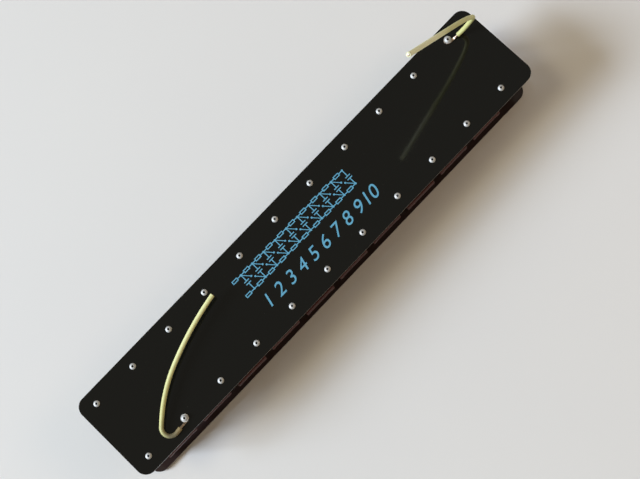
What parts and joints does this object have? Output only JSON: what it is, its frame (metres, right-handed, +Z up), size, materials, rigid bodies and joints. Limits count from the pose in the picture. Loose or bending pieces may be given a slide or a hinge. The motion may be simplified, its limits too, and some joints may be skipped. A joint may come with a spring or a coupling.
{
  "type": "marx generator",
  "caption": "Ladder of posts, charging resistors, disc capacitors and spark gaps between two long black plates, with two stiff insulated output leads standing on top.",
  "frame": {"origin": "on the table, under the middle of the two plates", "axes": "+X along the plates from the input end to the output end, +Y across them towards the row that ends in the high output terminal, +Z up"},
  "size_m": [0.498, 0.09, 0.2498],
  "materials": {
    "black_acrylic": "cast black acrylic, polished faces, laser-cut edges",
    "brass": "turned and drawn, satin",
    "stainless": "bright stainless steel",
    "lead_insulation": "pale yellow-green cable insulation, soft sheen",
    "copper": "bare copper, slightly dulled",
    "tinned_wire": "tinned copper and solder",
    "resistor_glaze": "brick-red coating over a ceramic rod",
    "capacitor_coating": "blue dipped epoxy"
  },
  "bodies": {
    "frame": {"top_plate": "black_acrylic", "bottom_plate": "black_acrylic", "posts_left": "brass", "posts_right": "brass", "top_screws_left": "stainless", "top_screws_right": "stainless", "bottom_screws_left": "stainless", "bottom_screws_right": "stainless", "terminal_screw_low": "stainless", "terminal_screw_high": "stainless", "terminal_washer_low": "stainless", "terminal_washer_high": "stainless", "resistor_left_1": "resistor_glaze", "resistor_left_2": "resistor_glaze", "resistor_left_3": "resistor_glaze", "resistor_left_4": "resistor_glaze", "resistor_left_5": "resistor_glaze", "resistor_left_6": "resistor_glaze", "resistor_left_7": "resistor_glaze", "resistor_left_8": "resistor_glaze", "resistor_left_9": "resistor_glaze", "resistor_left_10": "resistor_glaze", "resistor_right_1": "resistor_glaze", "resistor_right_2": "resistor_glaze", "resistor_right_3": "resistor_glaze", "resistor_right_4": "resistor_glaze", "resistor_right_5": "resistor_glaze", "resistor_right_6": "resistor_glaze", "resistor_right_7": "resistor_glaze", "resistor_right_8": "resistor_glaze", "resistor_right_9": "resistor_glaze", "resistor_right_10": "resistor_glaze", "resistor_leads_left": "tinned_wire", "resistor_leads_right": "tinned_wire", "capacitor_1": "capacitor_coating", "capacitor_2": "capacitor_coating", "capacitor_3": "capacitor_coating", "capacitor_4": "capacitor_coating", "capacitor_5": "capacitor_coating", "capacitor_6": "capacitor_coating", "capacitor_7": "capacitor_coating", "capacitor_8": "capacitor_coating", "capacitor_9": "capacitor_coating", "capacitor_10": "capacitor_coating", "capacitor_leads": "tinned_wire", "spark_gap_1": "copper", "spark_gap_2": "copper", "spark_gap_3": "copper", "spark_gap_4": "copper", "spark_gap_5": "copper", "spark_gap_6": "copper", "spark_gap_7": "copper", "spark_gap_8": "copper", "spark_gap_9": "copper"},
    "low_lead": {"low_lead_core": "copper", "low_lead_insulation": "lead_insulation"},
    "high_lead": {"high_lead_core": "copper", "high_lead_insulation": "lead_insulation"}
  },
  "joints": [
    {"name": "low_lead_swing", "type": "hinge", "parent": "frame", "child": "low_lead", "pos_m": [-0.188, -0.0325, 0.0684], "axis": [0, 0, 1], "continuous": true},
    {"name": "high_lead_swing", "type": "hinge", "parent": "frame", "child": "high_lead", "pos_m": [0.217, 0.0325, 0.0684], "axis": [0, 0, 1], "continuous": true}
  ]
}
